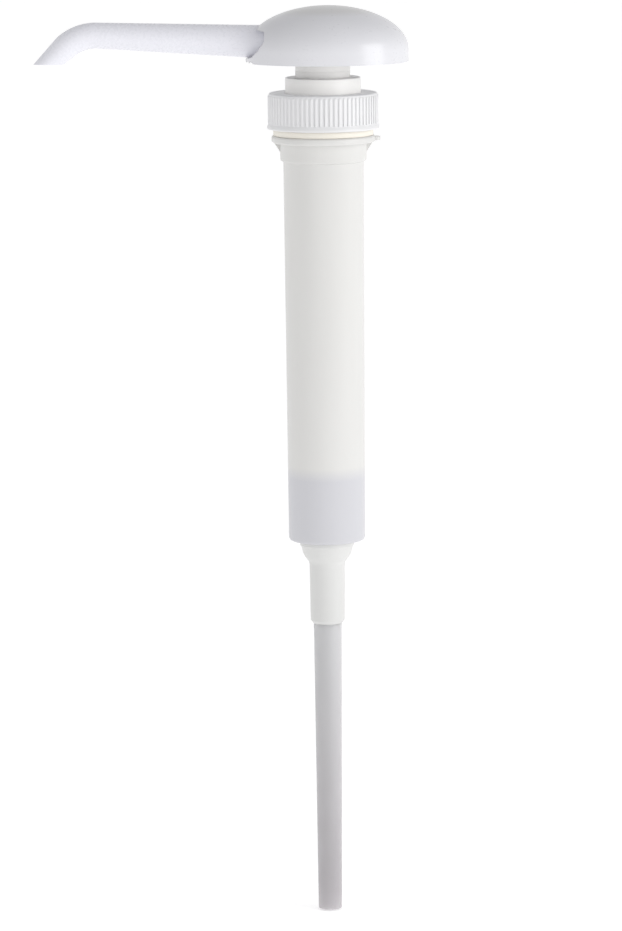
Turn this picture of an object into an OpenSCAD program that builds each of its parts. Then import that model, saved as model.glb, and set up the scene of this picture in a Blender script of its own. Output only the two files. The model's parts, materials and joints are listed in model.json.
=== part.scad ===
// Condiment pump dispenser: a plunger pump that stands in the neck of a one-gallon jug.
// The head, stem and piston slide as one unit; two ball valves move the sauce from the
// dip tube into the barrel, and from the barrel up the hollow stem to the spout.
//
// Origin: centre of the flange's underside, where the pump rests on the jug's neck.
// +Z is up the pump's axis, and the spout points along -X. Millimetres.
// The pump is drawn with its head right down, as it is stored and shipped.

/* [Pump] */
// How far the plunger rises from its lowest place
stroke = 56; // [40:1:60]
// Inside diameter of the barrel, which sets the dose with the stroke
bore_d = 26; // [26:0.1:26.4]
// Running clearance on the radius between a moving piece and its guide
running_gap = 0.06; // [0.03:0.01:0.08]
// Gap left between faces that rest on each other in different moving groups
face_gap = 0.1; // [0.05:0.01:0.15]

/* [Barrel] */
// Depth of the barrel below the flange
barrel_depth = 153.4; // [150:0.1:160]
// Outside diameter of the barrel just below the plug
barrel_top_d = 30.7; // [30.2:0.1:31.5]
// Outside diameter of the barrel at its lower end, smaller by the mould's draft
barrel_end_d = 29.3; // [29:0.1:30]
// Thickness of the barrel's floor
floor_t = 3.4; // [3:0.1:4]
// Diameter of the flange that rests on the jug's neck
flange_d = 39.6; // [38:0.1:41]
// Thickness of the flange
flange_t = 2.6; // [2.2:0.1:3]
// Diameter of the plug that centres the pump in the jug's neck
plug_d = 33; // [32.4:0.1:34]
// Height of the plug below the flange
plug_h = 7; // [6:0.1:9]
// Number of small webs between the flange and the plug
web_count = 2; // [2:1:12]

/* [Cap] */
// Outside diameter of the ribbed cap over its grip ribs
cap_d = 42.2; // [42:0.1:43.5]
// Height of the ribbed cap
cap_h = 13.7; // [13.7:0.1:14]
// Height of the smooth band at the cap's lower edge
cap_band_h = 2.2; // [1.6:0.1:2.6]
// Number of grip ribs
rib_count = 72; // [48:1:80]
// Thickness of the gasket between the cap and the flange
gasket_t = 2.5; // [2:0.1:2.8]

/* [Plunger] */
// Outside diameter of the stem
stem_d = 14; // [13.6:0.1:14.2]
// Bore of the stem
stem_bore_d = 9; // [8:0.1:9]
// Diameter of the collar that shows above the cap
collar_d = 28.8; // [28:0.1:30]
// Diameter of the gland nut on that collar
neck_d = 21; // [20:0.1:22]

/* [Head] */
// Length of the head along the spout
head_l = 62; // [60:0.5:64]
// Width of the head across the spout
head_w = 52; // [50:0.5:56]
// Height of the head from its rim to its crown
head_h = 21.4; // [21:0.1:23]
// Wall of the head's shell
head_wall = 2.4; // [2:0.1:2.6]

/* [Spout] */
// How far the spout's tip reaches from the pump's axis
spout_reach = 110.5; // [100:0.1:120]
// Diameter of the spout where it leaves the head
spout_root_d = 12.9; // [12.3:0.1:13.2]
// Diameter of the spout at its bend
spout_bend_d = 9.9; // [9.4:0.1:10]
// Diameter of the spout's tip, square to its own axis
spout_tip_d = 7.8; // [7:0.1:8.4]
// Rise of the spout away from the head, in degrees
spout_rise = 2.65; // [0:0.05:4]
// Slope of the spout's tip below the horizontal, in degrees
tip_slope = 42; // [38:1:50]

/* [Tail] */
// Length of the socket below the barrel that holds the dip tube
tail_l = 32.5; // [28:0.5:36]
// Outside diameter of that socket at its top
tail_d = 13.7; // [13.4:0.1:14]
// How far the dip tube's open end lies below the flange
reach_below = 298.7; // [260:0.5:320]
// Outside diameter of the dip tube at its top
tube_top_d = 10.8; // [10.6:0.1:10.9]
// Outside diameter of the dip tube at its open end
tube_end_d = 9.1; // [8.8:0.1:9.6]
// Bore of the dip tube
tube_bore_d = 7.2; // [6.6:0.1:7.4]

/* [Valves and spring] */
// How far each ball lifts off its seat
ball_lift = 3; // [2:0.1:3]
// Diameter of the return spring's wire
spring_wire = 1.5; // [1.2:0.1:1.5]

/* [Hidden] */

$fn = 96;
eps = 0.01;

// Heights above the flange's underside, up to the head
gasket_z = flange_t;
cap_z = gasket_z + gasket_t + face_gap;
cap_top_z = cap_z + cap_h;
cap_plate_t = 2;
bush_flange_t = 2;
bush_flange_z = cap_top_z - cap_plate_t - face_gap - bush_flange_t;
collar_top_z = cap_top_z + 5.8;
gland_h = 2.4;
gland_top_z = collar_top_z + gland_h;
thrust_z = gland_top_z + face_gap;
thrust_h = 3.2;
boss_z = thrust_z + thrust_h;
head_z = boss_z + face_gap;
spigot_top_z = boss_z + 15.4;

// Radii of the round fits
bore_r = bore_d / 2;
stem_r = stem_d / 2;
guide_r = stem_r + running_gap;
seal_r = bore_r - 0.03;
press_gap = 0.01;

// Threads are drawn as rings: the cap's rings lie between the barrel's
thread_root_r = 17.2;
thread_crest_r = 18.3;
thread_pitch = 3.2;
thread_z = gasket_z + 4.8;
cap_bore_r = 18.6;
cap_crest_r = 17.5;
ridge_base = 0.9;
ridge_tip = 0.35;

// Outside of the cap
cap_rib_h = 0.55;
cap_rib_w = 0.9;
cap_body_r = cap_d / 2 - cap_rib_h;
cap_band_r = cap_d / 2 + 0.4;
cap_corner = 1.3;

// Barrel
plug_r = plug_d / 2;
flange_r = flange_d / 2;
floor_z = -barrel_depth + floor_t;
web_t = 1.4;
web_drop = 3.6;

// Guide bush, wiper and gland nut
bush_sleeve_end_z = -8;
bush_sleeve_r = bore_r - 0.05;
bush_flange_r = 17.4;
wiper_seat_r = 9.2;
wiper_h = 3;
gland_thread_h = 1.6;
wiper_z = collar_top_z - gland_thread_h - wiper_h;

// Plunger, from the stop ring down to the piston's valve
stop_ring_h = 3;
stop_ring_z = bush_sleeve_end_z - stroke - stop_ring_h;
stop_ring_r = bore_r - 0.4;
piston_r = bore_r - 0.3;
piston_end_z = -124;
piston_h = 23;
piston_top_z = piston_end_z + piston_h;
piston_hole_r = 2.8;
piston_seat_z = piston_end_z + 2.4;
piston_chamber_r = 5.8;
// A three-eighths-inch steel ball
discharge_ball_r = 9.525 / 2;
seat_gap = 0.03;
discharge_ball_z = piston_seat_z - piston_hole_r + discharge_ball_r * sqrt(2) + seat_gap;
stem_end_z = discharge_ball_z + discharge_ball_r + ball_lift + seat_gap;
groove_h = 2.8;
groove_floor_r = piston_r - 2.1;
piston_groove_z = [piston_end_z + 3, piston_top_z - 3 - groove_h];
slot_w = 3;
slot_h = 4;

// Inlet valve at the barrel's floor
tail_spigot_r = 7.9;
tail_spigot_top_z = floor_z + 4;
cage_flange_t = 2.5;
cage_flange_r = bore_r - 0.5;
cage_r = 9.3;
cage_bore_r = 6.8;
cage_hole_r = 4.6;
window_w = 5;
// A half-inch steel ball
inlet_ball_r = 12.7 / 2;
inlet_hole_r = 4;
inlet_ball_z = floor_z - inlet_hole_r + inlet_ball_r * sqrt(2) + seat_gap;
cage_stop_z = inlet_ball_z + inlet_ball_r + ball_lift + seat_gap;
cage_top_z = cage_stop_z + 2;
spring_seat_z = floor_z + cage_flange_t;
spring_mean_r = 10.6;

// Tail piece and dip tube
tail_flange_r = 10.4;
tail_flange_t = 2;
tail_r = tail_d / 2;
tail_z = -barrel_depth - tail_l;
tube_top_z = tail_z + 20.4;
tube_top_r = tube_top_d / 2;
tail_seal_r = 9.2;
tail_seal_section = 1.1;

// Head: half an ellipsoid on a short skirt, its middle a little behind the axis
dome_x = 1.7;
skirt_h = 4.6;
dome_h = head_h - skirt_h;
boss_r = 10.6;
core_top_z = head_z + 17;
face_x = -22;
face_wall = 1.8;
rib_t = 1.6;
rib_step = 3;
arch_step = 11.25;
spout_axis_z = head_z + 6.75;
passage_r = 4.2;
o_groove_h = 1.9;
o_groove_r = stem_r - 1.5;
o_groove_z = [boss_z + 0.8, spigot_top_z - 3.9];
o_section = 1.55;
ring_chamber_r = stem_r - 1.1;
ring_chamber_h = 6.8;
port_r = 3;
bead_r = stem_r + 0.35;
bead_h = 0.9;
bead_z = spigot_top_z - 1.3;

// Spout, measured along its own axis from the pump's axis
socket_r = 6;
socket_start = 8.6;
sleeve_r = 7.6;
sleeve_end = 17;
spout_root = sleeve_end + face_gap;
spout_wall = 1.5;
bend_r = 17;
bend_turn = spout_rise + tip_slope;
bend_tangent = bend_r * tan(bend_turn / 2);
// The straight length laps over the bend's start as a faint step
lap_len = 0.5;
lap_step = 0.05;
tip_run = 16.5;
tip_len = 19;
outlet_half = spout_tip_d / 2 / sin(tip_slope);
corner = (spout_reach - outlet_half - tip_run * cos(tip_slope)) / cos(spout_rise);
spout_straight = corner - bend_tangent;
tip_cut_z = spout_axis_z + corner * sin(spout_rise) - tip_run * sin(tip_slope);
spout_groove_x = socket_start + 3.4;
spout_groove_w = 1.6;
spout_groove_r = socket_r - 0.75;

// A ring of rectangular section, its lower face at height z
module ring(r_out, r_in, z, h) {
    translate([0, 0, z])
        difference() {
            cylinder(h = h, r = r_out);
            translate([0, 0, -eps])
                cylinder(h = h + 2 * eps, r = r_in);
        }
}

// A disc with small bevels on its outer edges
module bevelled_disc(r, z, h, bevel) {
    rotate_extrude()
        polygon([[0, z], [r - bevel, z], [r, z + bevel], [r, z + h - bevel],
            [r - bevel, z + h], [0, z + h]]);
}

// An upright cylinder between two heights
module post(r, from_z, to_z) {
    translate([0, 0, from_z])
        cylinder(h = to_z - from_z, r = r);
}

// An upright cone between two heights
module cone(r_from, r_to, from_z, to_z) {
    translate([0, 0, from_z])
        cylinder(h = to_z - from_z, r1 = r_from, r2 = r_to);
}

// An O-ring of round section, lying flat with its middle at height z
module o_ring(mean_r, section, z) {
    translate([0, 0, z])
        rotate_extrude()
            translate([mean_r, 0])
                circle(d = section, $fn = 32);
}

// One thread ridge, drawn as a ring of trapezoid section
module thread_ridge(root_r, crest_r, z) {
    rotate_extrude()
        polygon([[root_r, z - ridge_base], [crest_r, z - ridge_tip],
            [crest_r, z + ridge_tip], [root_r, z + ridge_base]]);
}

// Places its children on the spout's own axis, with +X towards the tip
module on_spout_axis() {
    translate([0, 0, spout_axis_z])
        rotate([0, -spout_rise, 180])
            children();
}

// A cone or cylinder along +X, from one distance to another
module lying_cone(from, to, r_from, r_to) {
    translate([from, 0, 0])
        rotate([0, 90, 0])
            cylinder(h = to - from, r1 = r_from, r2 = r_to);
}

// The spout's form: push-fit end, tapered tube, bend and nozzle
module spout_form(start, end_r, root_r, tube_r, tip_r) {
    tip_end_r = tube_r - (tube_r - tip_r) * tip_len / (tip_run - bend_tangent);
    lying_cone(start, spout_root, end_r, end_r);
    lying_cone(spout_root - eps, spout_straight + lap_len, root_r, tube_r + lap_step);
    translate([spout_straight, 0, -bend_r]) {
        rotate([90, 0, 0])
            rotate([0, 0, 90 - bend_turn])
                rotate_extrude(angle = bend_turn)
                    translate([bend_r, 0])
                        circle(r = tube_r);
        rotate([0, bend_turn, 0])
            translate([0, 0, bend_r])
                lying_cone(0, tip_len, tube_r, tip_end_r);
    }
}

// The head's outer form, or the same form taken in by a wall's thickness: a round dome
// where it meets a barrel vault along the spout, which makes it narrower than it is long
module dome(inset) {
    long_r = head_l / 2 - inset;
    wide_r = head_w / 2 - inset;
    arch = [for (a = [0:arch_step:90]) [cos(a), skirt_h + (dome_h - inset) * sin(a)]];
    base = inset > 0 ? -eps : 0;
    translate([dome_x, 0, head_z])
        intersection() {
            rotate_extrude()
                polygon(concat([[0, base], [long_r, base]], [for (p = arch) [long_r * p[0], p[1]]]));
            rotate([90, 0, 90])
                linear_extrude(height = 2 * head_l, center = true)
                    polygon(concat([[-wide_r, base], [wide_r, base]],
                        [for (p = arch) [wide_r * p[0], p[1]]],
                        [for (i = [1:len(arch) - 1])
                            let (p = arch[len(arch) - 1 - i]) [-wide_r * p[0], p[1]]]));
        }
}

// What is cut away around the spout, leaving a hood above it and a lip below
module face_cut() {
    translate([0, 0, head_z])
        rotate([90, 0, 0])
            linear_extrude(height = 2 * head_w, center = true)
                polygon([[-head_l, 1.5], [face_x - 6.9, 1.5], [face_x - 4.7, 2.6],
                    [face_x - 2.4, 5.1], [face_x, 8.6], [face_x, 12.2],
                    [face_x - 3, 12.7], [-head_l, 12.7]]);
}

// The head's outer shell, open underneath, with ribs that grip the core
module pump_head() {
    color("ghostwhite")
        difference() {
            dome(0);
            difference() {
                dome(head_wall);
                translate([face_wall, 0, 0])
                    face_cut();
                for (turn = [0:120:240])
                    rotate([0, 0, turn])
                        translate([boss_r + press_gap, -rib_t / 2, head_z + rib_step])
                            cube([head_l, rib_t, head_h]);
            }
            face_cut();
            on_spout_axis()
                lying_cone(sleeve_end, head_l, spout_root_d / 2 + 0.3, spout_root_d / 2 + 0.3);
        }
}

// The part inside the head that turns on the stem and leads the sauce to the spout
module head_core() {
    color("ghostwhite")
        difference() {
            union() {
                post(boss_r, head_z, core_top_z);
                on_spout_axis()
                    lying_cone(0, sleeve_end, sleeve_r, sleeve_r);
            }
            translate([-head_l, -head_w, head_z - head_h])
                cube([2 * head_l, 2 * head_w, head_h]);
            post(guide_r, boss_z - 1, spigot_top_z + face_gap);
            post(bead_r + 0.1, bead_z - 0.2, bead_z + bead_h + 0.2);
            on_spout_axis() {
                lying_cone(0, socket_start + 1, passage_r, passage_r);
                lying_cone(socket_start, sleeve_end + 1, socket_r + press_gap, socket_r + press_gap);
            }
        }
}

module spout() {
    inner_root_r = spout_root_d / 2 - spout_wall;
    inner_tube_r = spout_bend_d / 2 - spout_wall;
    inner_tip_r = spout_tip_d / 2 - 0.9;
    color("lavender")
        difference() {
            on_spout_axis()
                difference() {
                    spout_form(socket_start + 0.2, socket_r, spout_root_d / 2,
                        spout_bend_d / 2, spout_tip_d / 2);
                    spout_form(socket_start - 1, socket_r - spout_wall, inner_root_r,
                        inner_tube_r, inner_tip_r);
                    translate([spout_groove_x, 0, 0])
                        rotate([0, 90, 0])
                            ring(socket_r + 1, spout_groove_r, 0, spout_groove_w);
                }
            translate([-2 * spout_reach, -head_w / 2, tip_cut_z - head_w])
                cube([2 * spout_reach, head_w, head_w]);
        }
}

module spout_seal() {
    section = socket_r - spout_groove_r - 2 * press_gap;
    color("dimgray")
        on_spout_axis()
            translate([spout_groove_x + spout_groove_w / 2, 0, 0])
                rotate([0, 90, 0])
                    o_ring(spout_groove_r + press_gap + section / 2, section, 0);
}

// The O-rings that seal the turning head on the stem's spigot
module head_seal(groove_z) {
    color("dimgray")
        o_ring(o_groove_r + press_gap + o_section / 2, o_section - 0.05, groove_z + o_groove_h / 2);
}

module head_seal_upper() {
    head_seal(o_groove_z[1]);
}

module head_seal_lower() {
    head_seal(o_groove_z[0]);
}

module stem() {
    color("ivory")
        difference() {
            union() {
                post(stem_r, stem_end_z, spigot_top_z);
                bevelled_disc(stop_ring_r, stop_ring_z, stop_ring_h, 0.5);
                bevelled_disc(neck_d / 2, thrust_z, thrust_h, 0.4);
                bevelled_disc(bead_r, bead_z, bead_h, 0.3);
            }
            post(stem_bore_d / 2, stem_end_z - 1, spout_axis_z + ring_chamber_h / 2);
            for (z = o_groove_z)
                ring(stem_r + 1, o_groove_r, z, o_groove_h);
            ring(stem_r + 0.2, ring_chamber_r, spout_axis_z - ring_chamber_h / 2, ring_chamber_h);
            translate([0, 0, spout_axis_z])
                for (turn = [0, 90])
                    rotate([0, 0, turn])
                        lying_cone(-stem_d, stem_d, port_r, port_r);
            for (turn = [0, 90])
                rotate([0, 0, turn])
                    translate([-stem_d, -slot_w / 2, stem_end_z - 1])
                        cube([2 * stem_d, slot_w, slot_h + 1]);
            for (turn = [0:90:270])
                rotate([0, 0, turn])
                    translate([stop_ring_r - 2, -2, stop_ring_z - 1])
                        cube([4, 4, stop_ring_h + 2]);
        }
}

module gland_nut() {
    color("ivory")
        difference() {
            union() {
                bevelled_disc(neck_d / 2, collar_top_z, gland_h, 0.4);
                post(wiper_seat_r - press_gap, collar_top_z - gland_thread_h, collar_top_z + 1);
            }
            post(guide_r + 0.1, collar_top_z - gland_thread_h - 1, gland_top_z + 1);
        }
}

// A wiper with one lip up and one lip down against the stem
module stem_wiper() {
    outer = wiper_seat_r - press_gap;
    inner = stem_r + 0.03;
    color("dimgray")
        translate([0, 0, wiper_z + press_gap])
            rotate_extrude()
                polygon([[outer, 0], [outer, wiper_h - 0.05], [inner + 1.2, wiper_h - 0.05],
                    [inner + 0.9, wiper_h - 0.9], [inner + 0.3, wiper_h - 0.05],
                    [inner, wiper_h - 0.3], [inner + 0.6, wiper_h / 2], [inner, 0.3],
                    [inner + 0.3, 0]]);
}

module guide_bush() {
    bevel = 0.7;
    collar_r = collar_d / 2;
    color("ivory")
        difference() {
            union() {
                post(bush_flange_r, bush_flange_z, bush_flange_z + bush_flange_t);
                post(bush_sleeve_r, bush_sleeve_end_z, bush_flange_z + 1);
                rotate_extrude()
                    polygon([[0, bush_flange_z], [collar_r, bush_flange_z],
                        [collar_r, collar_top_z - bevel], [collar_r - bevel, collar_top_z],
                        [0, collar_top_z]]);
            }
            post(guide_r, bush_sleeve_end_z - 1, collar_top_z + 1);
            post(wiper_seat_r, wiper_z, collar_top_z + 1);
        }
}

// One grip rib on the cap's side, its top end sloping in to meet the cap's corner
module grip_rib() {
    rib_low = cap_z + 0.6;
    rib_high = cap_top_z - cap_corner - 2 * cap_rib_h;
    rib_in = cap_body_r - cap_rib_h;
    rotate([90, 0, 0])
        linear_extrude(height = cap_rib_w, center = true)
            polygon([[rib_in, rib_low], [cap_d / 2, rib_low], [cap_d / 2, rib_high],
                [rib_in, rib_high + 2 * cap_rib_h]]);
}

module screw_cap() {
    top = cap_top_z;
    band_z = cap_z + cap_band_h;
    color("white")
        difference() {
            union() {
                rotate_extrude()
                    polygon(concat([[0, cap_z], [cap_band_r - 0.3, cap_z],
                        [cap_band_r, cap_z + 0.4], [cap_body_r + 0.2, band_z],
                        [cap_body_r, band_z]],
                        [for (a = [0:22.5:90])
                            [cap_body_r - cap_corner * (1 - cos(a)),
                                top - cap_corner * (1 - sin(a))]],
                        [[0, top]]));
                for (i = [0:rib_count - 1])
                    rotate([0, 0, (i + 0.5) * 360 / rib_count])
                        grip_rib();
            }
            post(cap_bore_r, cap_z - 1, top - cap_plate_t);
            post(collar_d / 2 + 0.2, cap_z, top + 1);
        }
    color("white")
        for (i = [0, 1])
            difference() {
                thread_ridge(cap_bore_r + 0.3, cap_crest_r, thread_z + (i + 0.5) * thread_pitch);
                ring(cap_bore_r + 1, cap_bore_r + 0.2, cap_z, cap_h);
            }
}

module cap_gasket() {
    color("cornsilk")
        difference() {
            bevelled_disc(flange_r - 0.7, gasket_z, gasket_t, 0.5);
            post(thread_root_r + press_gap, gasket_z - 1, gasket_z + gasket_t + 1);
        }
}

// The barrel's outline: neck, flange, plug, tapered tube and floor
module barrel_form() {
    rotate_extrude()
        polygon([[0, -barrel_depth], [barrel_end_d / 2 - 1.2, -barrel_depth],
            [barrel_end_d / 2, -barrel_depth + 1.2], [barrel_top_d / 2, -plug_h - 0.4],
            [plug_r - 0.3, -plug_h], [plug_r, -plug_h + 0.4], [plug_r, 0],
            [flange_r - 0.5, 0], [flange_r, 0.5], [flange_r, flange_t - 0.5],
            [flange_r - 0.5, flange_t], [thread_root_r, flange_t],
            [thread_root_r, bush_flange_z], [0, bush_flange_z]]);
}

module barrel() {
    color("floralwhite")
        difference() {
            union() {
                barrel_form();
                for (i = [0:2])
                    thread_ridge(thread_root_r - 1, thread_crest_r, thread_z + i * thread_pitch);
                translate([flange_r, 0, 0.5])
                    cylinder(h = flange_t - 1, r = 2);
                for (i = [0:web_count - 1])
                    rotate([90, 0, i * 360 / web_count])
                        linear_extrude(height = web_t, center = true)
                            polygon([[plug_r - 1, 0.5], [flange_r - 1, 0.5], [flange_r - 1, 0],
                                [plug_r + 0.05, -web_drop], [plug_r - 1, -web_drop]]);
            }
            post(bore_r, floor_z, bush_flange_z + 1);
            post(tail_spigot_r + press_gap, -barrel_depth - 1, floor_z + 1);
        }
}

module piston() {
    color("white")
        difference() {
            bevelled_disc(piston_r, piston_end_z, piston_h, 0.6);
            for (z = piston_groove_z)
                ring(piston_r + 1, groove_floor_r, z, groove_h);
            post(piston_hole_r, piston_end_z - 1, piston_top_z);
            cone(piston_hole_r, piston_chamber_r, piston_seat_z,
                piston_seat_z + piston_chamber_r - piston_hole_r);
            post(piston_chamber_r, piston_seat_z + piston_chamber_r - piston_hole_r,
                piston_top_z);
            post(stem_r + press_gap, stem_end_z, piston_top_z + 1);
        }
}

// A seal with two lips that rub on the barrel's wall
module piston_seal(z) {
    inner = groove_floor_r + press_gap;
    h = groove_h - 0.1;
    color("dimgray")
        translate([0, 0, z + 0.05])
            rotate_extrude()
                polygon([[inner, 0], [seal_r - 0.5, 0], [seal_r, 0.3], [seal_r, 0.7],
                    [seal_r - 0.6, h / 2], [seal_r, h - 0.7], [seal_r, h - 0.3],
                    [seal_r - 0.5, h], [inner, h]]);
}

module piston_seal_upper() {
    piston_seal(piston_groove_z[1]);
}

module piston_seal_lower() {
    piston_seal(piston_groove_z[0]);
}

module discharge_ball() {
    color("silver")
        translate([0, 0, discharge_ball_z])
            sphere(r = discharge_ball_r);
}

// The spring as the sleeve of space that its coils fill when it is pressed down
module return_spring() {
    color("silver")
        ring(spring_mean_r + spring_wire / 2, spring_mean_r - spring_wire / 2,
            spring_seat_z + 0.05, piston_end_z - spring_seat_z - 0.1);
}

// Nut, spring seat and cage in one: it holds the tail piece and the inlet ball
module ball_cage() {
    color("white")
        difference() {
            union() {
                bevelled_disc(cage_flange_r, floor_z, cage_flange_t, 0.3);
                bevelled_disc(cage_r, floor_z, cage_top_z - floor_z, 0.6);
            }
            post(tail_spigot_r + press_gap, floor_z - 1, tail_spigot_top_z);
            post(cage_bore_r, floor_z, cage_stop_z);
            post(cage_hole_r, floor_z, cage_top_z + 1);
            for (turn = [0, 90])
                rotate([0, 0, turn])
                    translate([-cage_r - 1, -window_w / 2, tail_spigot_top_z + 1])
                        cube([2 * cage_r + 2, window_w, cage_stop_z - tail_spigot_top_z - 1.5]);
        }
}

module inlet_ball() {
    color("silver")
        translate([0, 0, inlet_ball_z])
            sphere(r = inlet_ball_r);
}

module tail_piece() {
    flange_z = -barrel_depth - tail_flange_t;
    chamfer = 1;
    seat_r = 6.8;
    color("floralwhite")
        difference() {
            union() {
                post(tail_spigot_r, -barrel_depth - 1, tail_spigot_top_z);
                rotate_extrude()
                    polygon([[0, -barrel_depth], [tail_flange_r - 0.3, -barrel_depth],
                        [tail_flange_r, -barrel_depth - 0.3], [tail_flange_r, flange_z],
                        [tail_flange_r - 0.5, flange_z - 0.3], [tail_flange_r - 1.4, flange_z - 3.2],
                        [tail_r + 0.9, flange_z - 5.2], [tail_r, flange_z - 6.6],
                        [tail_r - 0.25, tail_z + chamfer], [tail_r - 0.25 - chamfer, tail_z],
                        [0, tail_z]]);
            }
            post(inlet_hole_r, tail_z - 1, tail_spigot_top_z + 1);
            post(tube_top_r + press_gap, tail_z - 1, tube_top_z);
            cone(inlet_hole_r, seat_r, floor_z, floor_z + seat_r - inlet_hole_r);
            post(seat_r, floor_z + seat_r - inlet_hole_r, tail_spigot_top_z + 1);
            ring(tail_seal_r + 0.7, tail_seal_r - 0.7, -barrel_depth - tail_seal_section - press_gap,
                tail_seal_section + 1);
        }
}

module tail_seal() {
    color("dimgray")
        o_ring(tail_seal_r, tail_seal_section - press_gap,
            -barrel_depth - tail_seal_section / 2 - press_gap);
}

module dip_tube() {
    color("gainsboro")
        difference() {
            union() {
                post(tube_top_r, tail_z - eps, tube_top_z);
                cone(tube_end_d / 2, tube_top_r, -reach_below, tail_z);
            }
            post(tube_bore_d / 2, -reach_below - 1, tube_top_z + 1);
        }
}

pump_head();
head_core();
spout();
spout_seal();
head_seal_upper();
head_seal_lower();
stem();
gland_nut();
stem_wiper();
guide_bush();
screw_cap();
cap_gasket();
barrel();
piston();
piston_seal_upper();
piston_seal_lower();
discharge_ball();
return_spring();
ball_cage();
inlet_ball();
tail_piece();
tail_seal();
dip_tube();
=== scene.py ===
# %% [markdown]
# # A condiment pump dispenser
# A plunger pump stands in the neck of a one-gallon jug of sauce. Pressing the domed head
# pushes a piston down a long white barrel, and the sauce leaves by the bent spout. The
# exact parts come from the CAD model, which stays as it is. Here each piece that shows is
# modelled again with softer edges and real surfaces, in the same place and to the same size.

# %% Load the exact parts
import json
import math

import bmesh
import bpy
from mathutils import Matrix, Vector


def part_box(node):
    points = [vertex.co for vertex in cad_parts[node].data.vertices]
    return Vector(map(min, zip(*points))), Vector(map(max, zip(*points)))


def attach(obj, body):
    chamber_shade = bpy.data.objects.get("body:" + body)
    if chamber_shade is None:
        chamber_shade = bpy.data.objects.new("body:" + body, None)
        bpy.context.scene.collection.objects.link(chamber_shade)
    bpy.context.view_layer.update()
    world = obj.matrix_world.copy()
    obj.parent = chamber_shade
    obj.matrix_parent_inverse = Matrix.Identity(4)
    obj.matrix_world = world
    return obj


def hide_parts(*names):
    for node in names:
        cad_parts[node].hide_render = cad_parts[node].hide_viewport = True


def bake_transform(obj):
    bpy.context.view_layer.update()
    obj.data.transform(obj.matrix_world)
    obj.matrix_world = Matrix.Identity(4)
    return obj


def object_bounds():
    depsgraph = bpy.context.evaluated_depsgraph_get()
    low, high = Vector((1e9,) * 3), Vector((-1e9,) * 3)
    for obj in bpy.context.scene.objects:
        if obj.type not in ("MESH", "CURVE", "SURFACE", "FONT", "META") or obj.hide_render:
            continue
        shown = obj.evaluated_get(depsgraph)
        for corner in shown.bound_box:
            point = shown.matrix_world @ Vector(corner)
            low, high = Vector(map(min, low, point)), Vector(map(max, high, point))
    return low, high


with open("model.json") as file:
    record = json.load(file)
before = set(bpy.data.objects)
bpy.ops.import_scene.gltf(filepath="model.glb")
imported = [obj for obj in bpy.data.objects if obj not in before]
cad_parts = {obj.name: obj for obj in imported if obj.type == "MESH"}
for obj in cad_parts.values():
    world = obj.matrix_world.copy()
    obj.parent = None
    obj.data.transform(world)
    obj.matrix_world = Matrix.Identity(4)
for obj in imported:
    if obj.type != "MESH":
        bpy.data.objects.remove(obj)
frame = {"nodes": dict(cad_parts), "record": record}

nodes = frame["nodes"]
cad_low, cad_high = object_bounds()
print("exact parts:", len(nodes), "height in mm:", round((cad_high.z - cad_low.z) * 1000, 1))

# %% [markdown]
# ## Shader maths as expressions
# A procedural finish is a small calculation on the place of each point. Linking Math nodes
# by hand hides that calculation, so a short class wraps a socket and gives it Python's
# operators. An expression such as 1 - mask then adds its own nodes, and one method makes
# any other node.

# %% A socket that takes part in sums
class Wire:
    """One output in a material's node tree."""

    def __init__(self, tree, socket=None):
        self.tree = tree
        self.socket = socket

    def node(self, kind, settings=None, inputs=None, out=0):
        made = self.tree.nodes.new(kind)
        for name, value in (settings or {}).items():
            setattr(made, name, value)
        for name, value in (inputs or {}).items():
            if isinstance(value, Wire):
                self.tree.links.new(value.socket, made.inputs[name])
            else:
                made.inputs[name].default_value = value
        return Wire(self.tree, made.outputs[out])

    def math(self, operation, a, b):
        return self.node("ShaderNodeMath", {"operation": operation}, {0: a, 1: b})

    def __add__(self, other):
        return self.math("ADD", self, other)

    def __sub__(self, other):
        return self.math("SUBTRACT", self, other)

    def __rsub__(self, other):
        return self.math("SUBTRACT", other, self)

    def __mul__(self, other):
        return self.math("MULTIPLY", self, other)

    def between(self, low, high):
        """0 below low, 1 above high, and an even ramp between."""
        return self.node("ShaderNodeMapRange", {"clamp": True},
                         {"Value": self, "From Min": low, "From Max": high})

    def mix(self, first, second):
        """The first colour where this is 0, the second where it is 1."""
        return self.node("ShaderNodeMix", {"data_type": "RGBA"},
                         {0: self, 6: first, 7: second}, out=2)


print("shader sums are ready")

# %% [markdown]
# ## The plastics
# Everything that shows is white or nearly white moulded plastic, so the pieces differ only
# by a breath of colour, by gloss and by the fine texture that the mould leaves. Three things
# make a white plastic believable: a very slow change of tint, an uneven gloss, and a bump
# too fine to see as relief but enough to break up a reflection.

# %% Make one moulded plastic
def rgb(r, g, b):
    return (r, g, b, 1)


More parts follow.
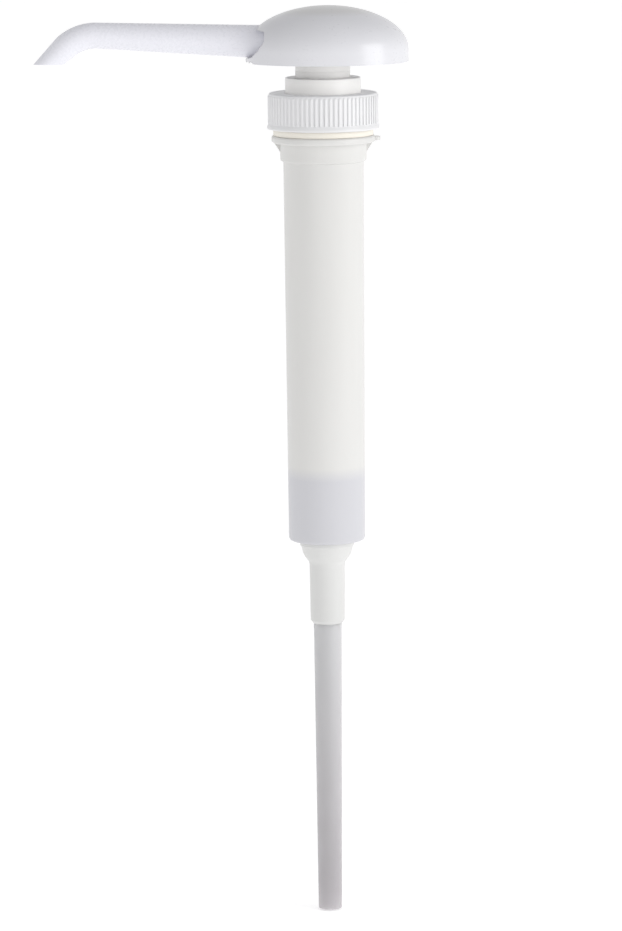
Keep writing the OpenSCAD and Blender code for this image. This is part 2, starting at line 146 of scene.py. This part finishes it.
def plastic(name, light, dark, roughness, grain=900, relief=0.012, streak=1.0, coat=0.0):
    """A moulded plastic that drifts between two near colours."""
    material = bpy.data.materials.new(name)
    material.use_nodes = True
    tree = material.node_tree
    shader = tree.nodes["Principled BSDF"]
    start = Wire(tree)
    place = start.node("ShaderNodeTexCoord", out="Object")
    turned = start.node("ShaderNodeMapping", inputs={"Vector": place, "Scale": (1, 1, streak)})
    drift = start.node("ShaderNodeTexNoise", inputs={"Vector": turned, "Scale": 38, "Detail": 3})
    fine = start.node("ShaderNodeTexNoise", inputs={"Vector": turned, "Scale": grain, "Detail": 2})
    colour = drift.between(0.35, 0.65).mix(light, dark)
    rough = (fine - 0.5) * 0.12 + (drift - 0.5) * 0.08 + roughness
    bump = start.node("ShaderNodeBump", inputs={"Height": fine, "Strength": 0.25,
                                                "Distance": relief * 0.001})
    tree.links.new(colour.socket, shader.inputs["Base Color"])
    tree.links.new(rough.socket, shader.inputs["Roughness"])
    tree.links.new(bump.socket, shader.inputs["Normal"])
    shader.inputs["Coat Weight"].default_value = coat
    shader.inputs["Coat Roughness"].default_value = 0.12
    return material, colour, place, shader


finishes = {}
finishes["spout_white"] = plastic("spout_white", rgb(0.80, 0.80, 0.855), rgb(0.785, 0.785, 0.84),
                                  0.28, relief=0.003, coat=0.3)[0]
finishes["natural_plastic"] = plastic("natural_plastic", rgb(0.93, 0.92, 0.90),
                                      rgb(0.90, 0.89, 0.87), 0.42)[0]
finishes["cap_white"] = plastic("cap_white", rgb(0.79, 0.79, 0.80), rgb(0.77, 0.77, 0.78), 0.38)[0]
finishes["gasket_cream"] = plastic("gasket_cream", rgb(0.86, 0.83, 0.76), rgb(0.83, 0.79, 0.71),
                                   0.62, grain=1500, relief=0.03)[0]
finishes["piston_white"] = plastic("piston_white", rgb(0.82, 0.82, 0.82), rgb(0.79, 0.79, 0.79),
                                   0.4)[0]
finishes["tail_white"] = plastic("tail_white", rgb(0.69, 0.69, 0.68), rgb(0.67, 0.67, 0.66), 0.4)[0]
finishes["seal_rubber"] = plastic("seal_rubber", rgb(0.32, 0.32, 0.31), rgb(0.26, 0.26, 0.25),
                                  0.7, grain=2200, relief=0.03)[0]
print("plain finishes:", ", ".join(sorted(finishes)))

# %% [markdown]
# ## The head's plastic
# An oval on the crown is painted a little greyer than the white around it. This is painted
# shade: the upward-facing top gets less light than the sides. Painting it would need a texture.
# An oval is only a distance, so the two flat coordinates are divided by its half lengths, and
# the length of the result fades the colour over a few millimetres.

# %% Grey the crown of the head with painted shade
def head_plastic():
    material, colour, place, shader = plastic(
        "head_white", rgb(0.715, 0.715, 0.745), rgb(0.695, 0.695, 0.725), 0.30, relief=0.003,
        coat=0.3)
    oval = place.node("ShaderNodeMapping", inputs={"Vector": place, "Location": (-0.09, 0, 0),
                                                   "Scale": (54, 66, 0)})
    away = oval.node("ShaderNodeVectorMath", {"operation": "LENGTH"}, {0: oval}, out="Value")
    # painted shade: the oval on the crown's top is darkened where less light falls on it
    crown_shade = 1 - away.between(0.8, 1.05)
    high = place.node("ShaderNodeSeparateXYZ", inputs={"Vector": place}, out="Z")
    crown_shade = crown_shade * high.between(0.043, 0.045)
    greyer = crown_shade.mix(colour, rgb(0.635, 0.63, 0.635))
    material.node_tree.links.new(greyer.socket, shader.inputs["Base Color"])
    return material


finishes["head_white"] = head_plastic()
print("the crown is greyer")

# %% [markdown]
# ## The barrel's plastic
# The barrel is a warm white for most of its length and is painted cooler and greyer near its
# foot. This is painted shade: it stands for the empty chamber below the piston showing
# through the wall. Real translucency would be slow and noisy for so faint an effect. A ramp on
# the height gives the same change, with a soft edge a few millimetres tall. The tint belongs
# to the barrel, so the moving piston leaves it where it is.

# %% Tint the barrel below the piston with painted shade
def barrel_plastic():
    material, colour, place, shader = plastic(
        "barrel_plastic", rgb(0.71, 0.705, 0.69), rgb(0.68, 0.675, 0.66), 0.36, streak=0.15)
    height = place.node("ShaderNodeSeparateXYZ", inputs={"Vector": place}, out="Z")
    # painted shade: a darker, cooler colour below the piston stands for the empty chamber seen
    # through the wall
    chamber_shade = 1 - height.between(-0.129, -0.124)
    tinted = (chamber_shade * 0.9).mix(colour, rgb(0.585, 0.585, 0.62))
    material.node_tree.links.new(tinted.socket, shader.inputs["Base Color"])
    return material


finishes["barrel_plastic"] = barrel_plastic()
print("the barrel changes tint 126 mm below the flange")

# %% [markdown]
# ## The dip tube's plastic
# The tube is drawn out of a die, so its marks run along it. It is a cloudy grey that darkens
# towards its open end. The same plastic is used, with light scattered inside it, its noise
# stretched along the tube and a ramp on the height.

# %% Grey the tube towards its end
def tube_plastic():
    material, colour, place, shader = plastic(
        "tube_translucent", rgb(0.60, 0.60, 0.61), rgb(0.58, 0.58, 0.59), 0.55, grain=500,
        streak=0.04)
    shader.inputs["Subsurface Weight"].default_value = 1.0
    shader.inputs["Subsurface Radius"].default_value = (1, 1, 1)
    shader.inputs["Subsurface Scale"].default_value = 0.006
    height = place.node("ShaderNodeSeparateXYZ", inputs={"Vector": place}, out="Z")
    low = 1 - height.between(-0.299, -0.186)
    tinted = low.mix(colour, rgb(0.46, 0.435, 0.455))
    material.node_tree.links.new(tinted.socket, shader.inputs["Base Color"])
    return material


finishes["tube_translucent"] = tube_plastic()
print("the tube darkens downwards")

# %% [markdown]
# ## Stainless steel
# The two valve balls and the spring never show, but anybody who takes the pump apart on
# screen will see them. Steel is a metal with a narrow spread of roughness and a faint
# scratch pattern.

# %% Make the steel
def steel():
    material = bpy.data.materials.new("stainless_steel")
    material.use_nodes = True
    tree = material.node_tree
    shader = tree.nodes["Principled BSDF"]
    start = Wire(tree)
    place = start.node("ShaderNodeTexCoord", out="Object")
    wear = start.node("ShaderNodeTexNoise", inputs={"Vector": place, "Scale": 700, "Detail": 4})
    colour = wear.between(0.3, 0.7).mix(rgb(0.60, 0.60, 0.61), rgb(0.68, 0.68, 0.68))
    tree.links.new(colour.socket, shader.inputs["Base Color"])
    tree.links.new((wear * 0.16 + 0.14).socket, shader.inputs["Roughness"])
    shader.inputs["Metallic"].default_value = 1
    return material


finishes["stainless_steel"] = steel()
print("finishes in all:", len(finishes))

# %% [markdown]
# ## From a section to a piece
# Nearly every piece of a pump is turned: one half section, swept once about the axis. The
# spin operator does it, and merges its last step with its first. Real mouldings have no
# knife edges, so the sharp rings are then bevelled by a few tenths of a millimetre, which is
# what catches the light.

# %% Helpers that finish a mesh
MM = 0.001


def soften(bm, width, above=35, segments=2):
    """Bevels the edges that turn by more than an angle."""
    sharp = [e for e in bm.edges if e.is_manifold and e.calc_face_angle(0) > math.radians(above)]
    bmesh.ops.bevel(bm, geom=sharp, offset=width * MM, offset_type="OFFSET", affect="EDGES",
                    segments=segments, profile=0.5, material=-1, clamp_overlap=True)


def piece_from(bm, name, slot, body, *stands_for):
    """Turns the mesh into a named piece that rides on a body and hides its CAD nodes."""
    bmesh.ops.remove_doubles(bm, verts=bm.verts, dist=1e-6)
    bmesh.ops.recalc_face_normals(bm, faces=bm.faces)
    mesh = bpy.data.meshes.new(name)
    bm.to_mesh(mesh)
    bm.free()
    mesh.shade_smooth()
    mesh.set_sharp_from_angle(angle=math.radians(38))
    mesh.materials.append(finishes[slot])
    piece = bpy.data.objects.new(name, mesh)
    bpy.context.scene.collection.objects.link(piece)
    if stands_for:
        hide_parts(*stands_for)
    if body:
        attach(piece, body)
    print(name, len(mesh.polygons), "faces")
    return piece


def turned(section, steps=128, edge=0.25):
    """A mesh spun about the pump's axis from (radius, height) points in millimetres."""
    bm = bmesh.new()
    corners = [bm.verts.new((r * MM, 0, z * MM)) for r, z in section]
    lines = [bm.edges.new(pair) for pair in zip(corners, corners[1:] + corners[:1])]
    bmesh.ops.spin(bm, geom=corners + lines, cent=(0, 0, 0), axis=(0, 0, 1), dvec=(0, 0, 0),
                   angle=math.tau, steps=steps, use_merge=True, use_duplicate=False)
    bmesh.ops.recalc_face_normals(bm, faces=bm.faces)
    if edge:
        soften(bm, edge)
    return bm


print("helpers ready")

# %% [markdown]
# ## The barrel
# The barrel is one moulding: a threaded neck for the cap, a flange that rests on the jug, a
# short plug that centres it, and the long tube, which tapers by a millimetre and a half so
# that it leaves its mould. All of that is one half section. The two small webs under the
# flange and the nib on its edge are added as their own little solids.

# %% Spin the barrel
thread_root, thread_crest = 17.2, 18.3
thread = []
for ridge in (7.4, 10.6, 13.8):
    thread += [(thread_root, ridge - 0.7), (thread_crest, ridge - 0.3),
               (thread_crest, ridge + 0.3), (thread_root, ridge + 0.7)]
barrel = turned(
    [(7.91, -153.4), (13.4, -153.4), (14.2, -153.1), (14.65, -152.2), (15.35, -7.4),
     (15.9, -7.2), (16.3, -6.95), (16.5, -6.4), (16.5, 0), (19.3, 0), (19.8, 0.5), (19.8, 2.1),
     (19.3, 2.6), (17.2, 2.6)] + thread + [(17.2, 14.8), (13, 14.8), (13, -150), (7.91, -150)],
    steps=144, edge=0.2)

# %% Add the webs and the nib
web_t = 1.4
for turn in range(2):
    corners = [barrel.verts.new((x * MM, web_t / 2 * MM, z * MM))
               for x, z in ((15.6, 0.4), (18.8, 0.4), (18.8, 0), (16.55, -3.6), (15.6, -3.6))]
    web = bmesh.ops.contextual_create(barrel, geom=corners)["faces"]
    grown = bmesh.ops.extrude_face_region(barrel, geom=web)["geom"]
    moved = [v for v in grown if isinstance(v, bmesh.types.BMVert)]
    bmesh.ops.translate(barrel, verts=moved, vec=(0, -web_t * MM, 0))
    bmesh.ops.rotate(barrel, verts=corners + moved, cent=(0, 0, 0),
                     matrix=Matrix.Rotation(turn * math.pi, 3, "Z"))
nib = bmesh.ops.create_cone(barrel, cap_ends=True, segments=32, radius1=2 * MM, radius2=2 * MM,
                            depth=1.6 * MM, matrix=Matrix.Translation((19.8 * MM, 0, 1.3 * MM)))
rims = [e for e in barrel.edges if e.verts[0] in nib["verts"] and e.calc_face_angle(0) > 1]
bmesh.ops.bevel(barrel, geom=rims, offset=0.3 * MM, offset_type="OFFSET", affect="EDGES",
                segments=2, profile=0.5, material=-1)
piece_from(barrel, "barrel_body", "barrel_plastic", "barrel", "barrel")

# %% [markdown]
# ## The gasket, the collar and the gland nut
# A soft cream gasket lies on the flange. Above the cap stand two steps in a slightly creamier
# plastic: the guide bush's collar, and the gland nut that keeps the wiper in it. Each is a
# plain turned section with a softened edge.

# %% Spin the gasket, the collar and the gland nut
gasket = turned([(17.21, 2.6), (19.1, 2.6), (19.1, 5.1), (17.21, 5.1)], edge=0.55)
piece_from(gasket, "gasket_ring", "gasket_cream", "barrel", "cap_gasket")
collar = turned([(7.06, -8), (12.95, -8), (12.95, 14.8), (17.4, 14.8), (17.4, 16.8),
                 (14.4, 16.8), (14.4, 24.7), (9.2, 24.7), (9.2, 20.1), (7.06, 20.1)], edge=0.5)
piece_from(collar, "guide_collar", "natural_plastic", "barrel", "guide_bush")
gland = turned([(7.16, 23.1), (9.19, 23.1), (9.19, 24.7), (10.5, 24.7), (10.5, 27.18),
                (7.16, 27.18)], edge=0.03)
piece_from(gland, "gland_ring", "natural_plastic", "barrel", "gland_nut")

# %% [markdown]
# ## The ribbed cap
# The cap has seventy-two grip ribs. Each could be its own block, but extruding is closer to
# how they look: the cap's side is spun with four columns of faces to a rib, two of the four
# are pushed out, and the tops of the ribs are drawn down so that they slope into the corner.

# %% Spin the cap and push out its ribs
ribs, per_rib = 72, 4
root, crest = 20.75, 21.1
side_low, side_high, side_r, rib_top = 7.5, 18, 0.0202, 0.017
corner = [(root - 0.8 * (1 - math.cos(a)), 18.1 + 0.8 * math.sin(a))
          for a in (0, math.pi / 8, math.pi / 4, 3 * math.pi / 8, math.pi / 2)]
cap = turned([(18.6, 5.2), (21.2, 5.2), (21.5, 5.6), (21.3, 6.3), (20.85, 7.2), (root, 7.4)]
             + corner + [(14.6, 18.9), (14.6, 16.9), (18.6, 16.9)], steps=per_rib * ribs, edge=0)
column = math.tau / (per_rib * ribs)
side = [f for f in cap.faces if side_low < f.calc_center_median().z / MM < side_high
        and f.calc_center_median().xy.length > side_r]
grips = [f for f in side
         if int((math.atan2(f.calc_center_median().y, f.calc_center_median().x) % math.tau)
                / column) % per_rib in (1, 2)]
pushed = [v for v in bmesh.ops.extrude_face_region(cap, geom=grips)["geom"]
          if isinstance(v, bmesh.types.BMVert)]
bmesh.ops.delete(cap, geom=grips, context="FACES")
bmesh.ops.scale(cap, verts=pushed, vec=(crest / root, crest / root, 1))
bmesh.ops.translate(cap, verts=[v for v in pushed if v.co.z > rib_top], vec=(0, 0, -0.35 * MM))
soften(cap, 0.16, above=50, segments=2)
piece_from(cap, "ribbed_cap", "cap_white", "cap", "screw_cap")

# %% [markdown]
# ## The stem
# The stem is the hollow rod that carries the piston. Only its thick collar shows while the
# head is down, but the rod comes up out of the gland when the plunger rises.

# %% Spin the stem
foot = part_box("stem")[0].z / MM
stem = turned([(4.5, foot), (7, foot), (7, -67), (12.6, -67), (12.6, -64), (7, -64), (7, 27.2),
               (10.5, 27.2), (10.5, 30.4), (7, 30.4), (7, 44.5), (7.3, 44.9), (7, 45.4),
               (7, 45.8), (4.5, 45.8)], edge=0.03)
piece_from(stem, "plunger_stem", "natural_plastic", "plunger", "stem")

# %% [markdown]
# ## The tail piece and the dip tube
# Below the barrel a stepped tail piece narrows to a socket, and the dip tube is pushed into
# it from below. Both are turned. The tube's end is left open and thin-walled.

# %% Spin the tail piece and the dip tube
tail = turned([(4, -148.5), (6.8, -146), (7.9, -146), (7.9, -153.4), (10.1, -153.4),
               (10.4, -153.7), (10.4, -155.3), (10.0, -155.8), (9.3, -158.4), (8.6, -159.9),
               (7.7, -161), (7.1, -161.9), (6.85, -163), (6.6, -184.7), (5.6, -185.9),
               (5.41, -185.9), (5.41, -165.5), (4, -165.5)], edge=0.15)
piece_from(tail, "tail_socket", "tail_white", "barrel", "tail_piece")
tube = turned([(3.6, -298.7), (4.55, -298.7), (5.4, -185.9), (5.4, -165.5), (3.6, -165.5)],
              edge=0.15)
piece_from(tube, "dip_tube_body", "tube_translucent", "barrel", "dip_tube")

# %% [markdown]
# ## The push head's dome
# The head is half an egg lying on a short skirt, a little longer along the spout than across
# it. A sphere cut in half and scaled by three different amounts gives that form exactly. A
# notch at the front lets the spout in: a hood stays above it and a curved lip below. The
# notch is a convex space, so bisecting the faces by each of its planes in turn marks out
# exactly the faces to remove, and each plane then closes with one flat face.

# %% Cut the dome and its notch
rim_z, skirt, dome_x = 30.5, 4.6, 1.7
outer_egg, inner_egg, rib_egg = (31, 26, 16.8), (28.6, 23.6, 14.4), (29.2, 24.2, 15)
lip_x, lip_slope, lip_most = -26.3, 0.77, 0.8


def half_egg(bm, long_r, wide_r, high):
    """Half an ellipsoid with a straight skirt below it, open at the rim. Gives its new corners."""
    before = set(bm.verts)
    ball = bmesh.ops.create_uvsphere(bm, u_segments=128, v_segments=64, radius=MM)["verts"]
    faces = list({f for v in ball for f in v.link_faces})
    edges = list({e for v in ball for e in v.link_edges})
    bmesh.ops.bisect_plane(bm, geom=ball + edges + faces, plane_co=(0, 0, 0),
                           plane_no=(0, 0, 1), clear_inner=True, dist=1e-9)
    shell = [v for v in bm.verts if v not in before]
    bmesh.ops.scale(bm, verts=shell, vec=(long_r, wide_r, high))
    bmesh.ops.translate(bm, verts=shell, vec=(dome_x * MM, 0, (rim_z + skirt) * MM))
    brim = [e for e in bm.edges if e.is_boundary and e.verts[0] not in before]
    low = bmesh.ops.extrude_edge_only(bm, edges=brim)["geom"]
    bmesh.ops.translate(bm, verts=[v for v in low if isinstance(v, bmesh.types.BMVert)],
                        vec=(0, 0, -skirt * MM))
    return [v for v in bm.verts if v not in before]


def cut_away(bm, verts, place, normal):
    """Removes what lies beyond a plane, from the faces that these corners belong to."""
    faces = list({f for v in verts for f in v.link_faces})
    edges = list({e for v in verts for e in v.link_edges})
    bmesh.ops.bisect_plane(bm, geom=verts + edges + faces, plane_co=[c * MM for c in place],
                           plane_no=normal, clear_outer=True, dist=1e-8)


notch = [((-22, 40), (1, 0)), ((-22, 42.7), (0.12, 1)), ((-22, 39.1), (0.82, -0.57)),
         ((-24.4, 35.6), (0.735, -0.68)), ((-26.7, 33.1), (0.45, -0.89))]


def within(point, planes):
    """True where a point is on the notch's side of every plane."""
    return all((point.x / MM - px) * nx + (point.z / MM - pz) * nz < 1e-4
               for (px, pz), (nx, nz) in planes)


head = bmesh.new()
half_egg(head, *outer_egg)
for count in range(1, len(notch) + 1):
    (px, pz), (nx, nz) = notch[count - 1]
    faces = [f for f in head.faces if within(f.calc_center_median(), notch[:count - 1])]
    edges = list({e for f in faces for e in f.edges})
    verts = list({v for f in faces for v in f.verts})
    bmesh.ops.bisect_plane(head, geom=faces + edges + verts, plane_co=(px * MM, 0, pz * MM),
                           plane_no=(nx, 0, nz), dist=1e-8)
gone = [f for f in head.faces if within(f.calc_center_median(), notch)]
bmesh.ops.delete(head, geom=gone, context="FACES")
for v in head.verts:
    if v.co.z < (rim_z + 0.01) * MM and v.co.x < lip_x * MM:
        lift = min((lip_x * MM - v.co.x) * lip_slope, lip_most * MM)
        bmesh.ops.translate(head, verts=[v], vec=(0, 0, lift))
print("the notch took away", len(gone), "faces")

# %% Close the notch with flat faces
def on_plane(v, plane):
    (px, pz), (nx, nz) = plane
    return abs((v.co.x / MM - px) * nx + (v.co.z / MM - pz) * nz) < 2e-3


def near_rim(e):
    return all(v.co.z < (rim_z + 1.2) * MM for v in e.verts)


edge_loop = [e for e in head.edges if e.is_boundary and not near_rim(e)]
loop_verts = {v for e in edge_loop for v in e.verts}
order = [notch[1], notch[0], *notch[2:]]
for first, second in zip(order, order[1:]):
    pair = [v for v in loop_verts if on_plane(v, first) and on_plane(v, second)]
    print("fold between two planes:", len(pair), "corners")
    if len(pair) == 2:
        head.edges.new(pair)
for plane in order:
    flat = [e for e in head.edges if len(e.link_faces) < 2
            and all(on_plane(v, plane) and v in loop_verts for v in e.verts)]
    bmesh.ops.contextual_create(head, geom=flat)

# %% Add the inner wall and the rim
wall_x = -20.2
before = set(head.verts)
cut_away(head, half_egg(head, *inner_egg), (wall_x, 0, 0), (-1, 0, 0))
wall = [e for e in head.edges if e.is_boundary and not before.intersection(e.verts)
        and all(abs(v.co.x - wall_x * MM) < 1e-6 for v in e.verts)]
ends = [v for e in wall for v in e.verts if v.co.z < (rim_z + 0.01) * MM]
wall.append(head.edges.new(ends))
bmesh.ops.contextual_create(head, geom=wall)
rims = [e for e in head.edges if len(e.link_faces) < 2 and near_rim(e)]
bmesh.ops.triangle_fill(head, use_beauty=True, use_dissolve=False, edges=rims, normal=(0, 0, -1))
print("open edges left on the head:", sum(e.is_boundary for e in head.edges))

# %% [markdown]
# Three ribs inside the dome grip the part that turns on the stem. A rib is a slice of a
# slightly larger egg: a thin strip of it is kept, and the strip's border is drawn down to
# one level.

# %% Add the ribs inside the dome
rib_half, rib_in, rib_step = 0.8, 10.4, 3
for turn in range(3):
    angle = math.radians(120 * turn)
    out, side = (math.cos(angle), math.sin(angle), 0), (-math.sin(angle), math.cos(angle), 0)
    before = set(head.verts)
    half_egg(head, *rib_egg)
    for place, normal in (([rib_half * c for c in side], side),
                          ([-rib_half * c for c in side], [-c for c in side]),
                          ([rib_in * c for c in out], [-c for c in out]),
                          ((0, 0, rim_z + rib_step), (0, 0, -1))):
        cut_away(head, [v for v in head.verts if v not in before], place, normal)
    border = [e for e in head.edges if e.is_boundary and not before.intersection(e.verts)]
    low = [v for v in bmesh.ops.extrude_edge_only(head, edges=border)["geom"]
           if isinstance(v, bmesh.types.BMVert)]
    bmesh.ops.scale(head, verts=low, vec=(1, 1, 0),
                    space=Matrix.Translation((0, 0, -(rim_z + rib_step) * MM)))
    border = [e for e in head.edges if e.is_boundary and not before.intersection(e.verts)]
    bmesh.ops.holes_fill(head, edges=border, sides=0)
piece_from(head, "head_dome", "head_white", "head", "pump_head")

# %% [markdown]
# ## The spout
# The spout is a tapering tube that rises a little, bends down and ends in a narrower nozzle,
# cut level. A ring is grown along it: extruded, moved and shrunk for the straight lengths,
# and spun about the bend's centre for the bend. An inner ring is grown the same way, and the
# two are bridged at both ends, so that the wall is real.

# %% Grow the spout
rise, slope, bend_r, tip_run = math.radians(2.65), math.radians(42), 17, 16.5
axis_z = 37.25
tip_half = 7.8 / 2 / math.sin(slope)
corner_x = (110.5 - tip_half - tip_run * math.cos(slope)) / math.cos(rise)
straight = corner_x - bend_r * math.tan((rise + slope) / 2)
cut_z = axis_z + corner_x * math.sin(rise) - tip_run * math.sin(slope)
along = Vector((-math.cos(rise), 0, math.sin(rise)))
down = Vector((-math.cos(slope), 0, -math.sin(slope)))
start = Vector((0, 0, axis_z))


def ring_of(bm, centre, direction, radius):
    turn = direction.to_track_quat("Z", "Y").to_matrix().to_4x4()
    made = bmesh.ops.create_circle(bm, cap_ends=False, segments=48, radius=radius * MM,
                                   matrix=Matrix.Translation(centre * MM) @ turn)
    return list({e for v in made["verts"] for e in v.link_edges})


def grow(bm, ring, centre, step, scale):
    """Extrudes a ring of edges, then moves and shrinks the new ring."""
    out = bmesh.ops.extrude_edge_only(bm, edges=ring)["geom"]
    verts = [v for v in out if isinstance(v, bmesh.types.BMVert)]
    bmesh.ops.translate(bm, verts=verts, vec=step * MM)
    shift = Matrix.Translation(-(centre + step) * MM)
    bmesh.ops.scale(bm, verts=verts, vec=(scale, scale, scale), space=shift)
    return [e for e in out if isinstance(e, bmesh.types.BMEdge)
            and e.verts[0] in verts and e.verts[1] in verts], centre + step


inner_end, socket_l, shoulder_l, shoulder_x, tip_l = 8.8, 8.3, 0.05, 17.15, 19
long_steps, bend_steps, tip_steps = 12, 14, 4


def taper(bm, ring, centre, way, from_r, to_r, steps):
    """Grows a ring in equal steps while its radius goes evenly from one value to another."""
    for i in range(steps):
        before = from_r + (to_r - from_r) * i / steps
        after = from_r + (to_r - from_r) * (i + 1) / steps
        ring, centre = grow(bm, ring, centre, way, after / before)
    return ring, centre


def grow_spout(bm, end_r, root_r, tube_r, tip_r):
    centre = start + along * inner_end
    ring = ring_of(bm, centre, along, end_r)
    ring, centre = grow(bm, ring, centre, along * socket_l, 1)
    ring, centre = grow(bm, ring, centre, along * shoulder_l, root_r / end_r)
    step = along * ((straight - shoulder_x) / long_steps)
    ring, centre = taper(bm, ring, centre, step, root_r, tube_r, long_steps)
    pivot = start + along * straight + Vector((-math.sin(rise), 0, -math.cos(rise))) * bend_r
    bent = bmesh.ops.spin(bm, geom=ring, cent=pivot * MM, axis=(0, 1, 0), dvec=(0, 0, 0),
                          angle=-(rise + slope), steps=bend_steps, use_merge=False,
                          use_duplicate=False)
    ring = [e for e in bent["geom_last"] if isinstance(e, bmesh.types.BMEdge)]
    centre = sum((v.co for e in ring for v in e.verts), Vector()) / (2 * len(ring)) / MM
    taper(bm, ring, centre, down * (tip_l / tip_steps), tube_r, tip_r, tip_steps)


spout = bmesh.new()
tip_end = 4.95 - (4.95 - 3.9) * tip_l / (tip_run - bend_r * math.tan((rise + slope) / 2))
grow_spout(spout, 6.0, 6.45, 4.95, tip_end)
grow_spout(spout, 4.5, 4.95, 3.45, tip_end - 0.12)
bmesh.ops.bisect_plane(spout, geom=spout.verts[:] + spout.edges[:] + spout.faces[:],
                       plane_co=(0, 0, cut_z * MM), plane_no=(0, 0, -1), clear_outer=True)
ends = [e for e in spout.edges if e.is_boundary]
bmesh.ops.bridge_loops(spout, edges=[e for e in ends if e.verts[0].co.x < -0.05])
bmesh.ops.bridge_loops(spout, edges=[e for e in ends if e.verts[0].co.x > -0.05])
bmesh.ops.recalc_face_normals(spout, faces=spout.faces)
rim = [e for e in spout.edges if all(abs(v.co.z - cut_z * MM) < 1e-6 for v in e.verts)
       and e.calc_face_angle(0) > math.radians(30)]
bmesh.ops.bevel(spout, geom=rim, offset=0.35 * MM, offset_type="OFFSET", affect="EDGES",
                segments=3, profile=0.5, material=-1, clamp_overlap=True)
print("outlet rim edges rounded:", len(rim))
piece_from(spout, "spout_tube", "spout_white", "head", "spout")

# %% [markdown]
# ## The return spring
# The CAD model holds the spring's place with a sleeve. The real one is eleven turns of wire.
# Spinning a small circle while it climbs makes the coil. Its foot stays on the barrel and its
# top rises with the plunger.

# %% Wind the spring
low, high = (p.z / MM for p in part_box("return_spring"))
turns, per_turn, wire, coil_r = 11, 28, 0.75, 10.6
climb = (high - low - 2 * wire) / (turns * per_turn)
spring = bmesh.new()
place = (Matrix.Translation((coil_r * MM, 0, (low + wire) * MM))
         @ Matrix.Rotation(math.pi / 2, 4, "X"))
made = bmesh.ops.create_circle(spring, cap_ends=False, segments=10, radius=wire * MM, matrix=place)
ring = list({e for v in made["verts"] for e in v.link_edges})
bmesh.ops.spin(spring, geom=made["verts"] + ring, cent=(0, 0, 0), axis=(0, 0, 1),
               dvec=(0, 0, climb * MM), angle=turns * math.tau, steps=turns * per_turn,
               use_merge=False, use_duplicate=False)
bmesh.ops.holes_fill(spring, edges=[e for e in spring.edges if e.is_boundary], sides=12)
coil = piece_from(spring, "spring_coil", "stainless_steel", None, "return_spring")
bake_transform(coil)

# %% [markdown]
# ## Finishes for the pieces that stay
# The pieces inside the pump keep their CAD shapes, which are already right, and take their
# finish from the record's own slots.

# %% Give the inner pieces their finishes
slots = {row["node"]: row["material_slot"] for row in frame["record"]["subparts"]}
kept = [name for name, node in nodes.items() if not node.hide_render]
for name in kept:
    if not nodes[name].material_slots:
        nodes[name].data.materials.append(None)
    for place in nodes[name].material_slots:
        place.material = finishes[slots[name]]
print("CAD shapes kept:", ", ".join(sorted(kept)))

# %% [markdown]
# ## The floor
# A pale floor runs far back, so that from the front the pump stands against plain white. It
# glows a little, as a lit studio sweep does, which keeps it even.

# %% Lay the floor
floor_bm = bmesh.new()
bmesh.ops.create_circle(floor_bm, cap_ends=True, segments=64, radius=30,
                        matrix=Matrix.Translation((0, 0, cad_low.z - 0.0005)))
floor_mesh = bpy.data.meshes.new("floor")
floor_bm.to_mesh(floor_mesh)
floor_bm.free()
floor = bpy.data.objects.new("floor", floor_mesh)
bpy.context.scene.collection.objects.link(floor)
floor_paint = bpy.data.materials.new("floor_paint")
floor_paint.use_nodes = True
paint = floor_paint.node_tree.nodes["Principled BSDF"]
paint.inputs["Base Color"].default_value = rgb(0.9, 0.9, 0.9)
paint.inputs["Roughness"].default_value = 0.9
paint.inputs["Emission Color"].default_value = rgb(1, 1, 1)
paint.inputs["Emission Strength"].default_value = 0.46
floor_mesh.materials.append(floor_paint)

# %% [markdown]
# ## Light
# One broad soft panel stands to the right and in front. The rest of the light comes from a
# plain sky, which is brighter near the horizon than overhead, and from the glowing floor.

# %% Place the lights
key_place, key_aim = Vector((1.9, -1.05, 0.35)), Vector((0, 0, -0.05))
key_light = bpy.data.lights.new("key", "AREA")
key_light.shape = "RECTANGLE"
key_light.size, key_light.size_y = 1.2, 1.6
key_light.energy = 17.8
key = bpy.data.objects.new("key", key_light)
key.location = key_place
key.rotation_euler = (key_aim - key_place).to_track_quat("-Z", "Y").to_euler()
bpy.context.scene.collection.objects.link(key)
world = bpy.data.worlds.new("studio")
bpy.context.scene.world = world
world.use_nodes = True
sky = Wire(world.node_tree)
aim = sky.node("ShaderNodeTexCoord", out="Generated")
upward = sky.node("ShaderNodeSeparateXYZ", inputs={"Vector": aim}, out="Z")
shade = upward.between(0.15, 0.85).mix(rgb(0.89, 0.89, 0.89), rgb(0.485, 0.485, 0.49))
backdrop = world.node_tree.nodes["Background"]
world.node_tree.links.new(shade.socket, backdrop.inputs["Color"])
bpy.context.scene.view_settings.view_transform = "Standard"
print("lights placed")

# %% [markdown]
# ## Camera
# A long lens nearly two metres away looks a few degrees down on the pump, so that its rims
# show as flat ellipses and its length is hardly foreshortened.

# %% Place the camera
lens = bpy.data.cameras.new("camera")
lens.sensor_width = 36
lens.lens = 193.34
camera = bpy.data.objects.new("camera", lens)
camera.location = (-0.0059, -1.9, 0.165)
tilt = Matrix.Rotation(math.radians(90 - 8.665), 3, "X")
roll = Matrix.Rotation(math.radians(-0.55), 3, "Z")
camera.rotation_euler = (tilt @ roll).to_euler()
bpy.context.scene.collection.objects.link(camera)
bpy.context.scene.camera = camera
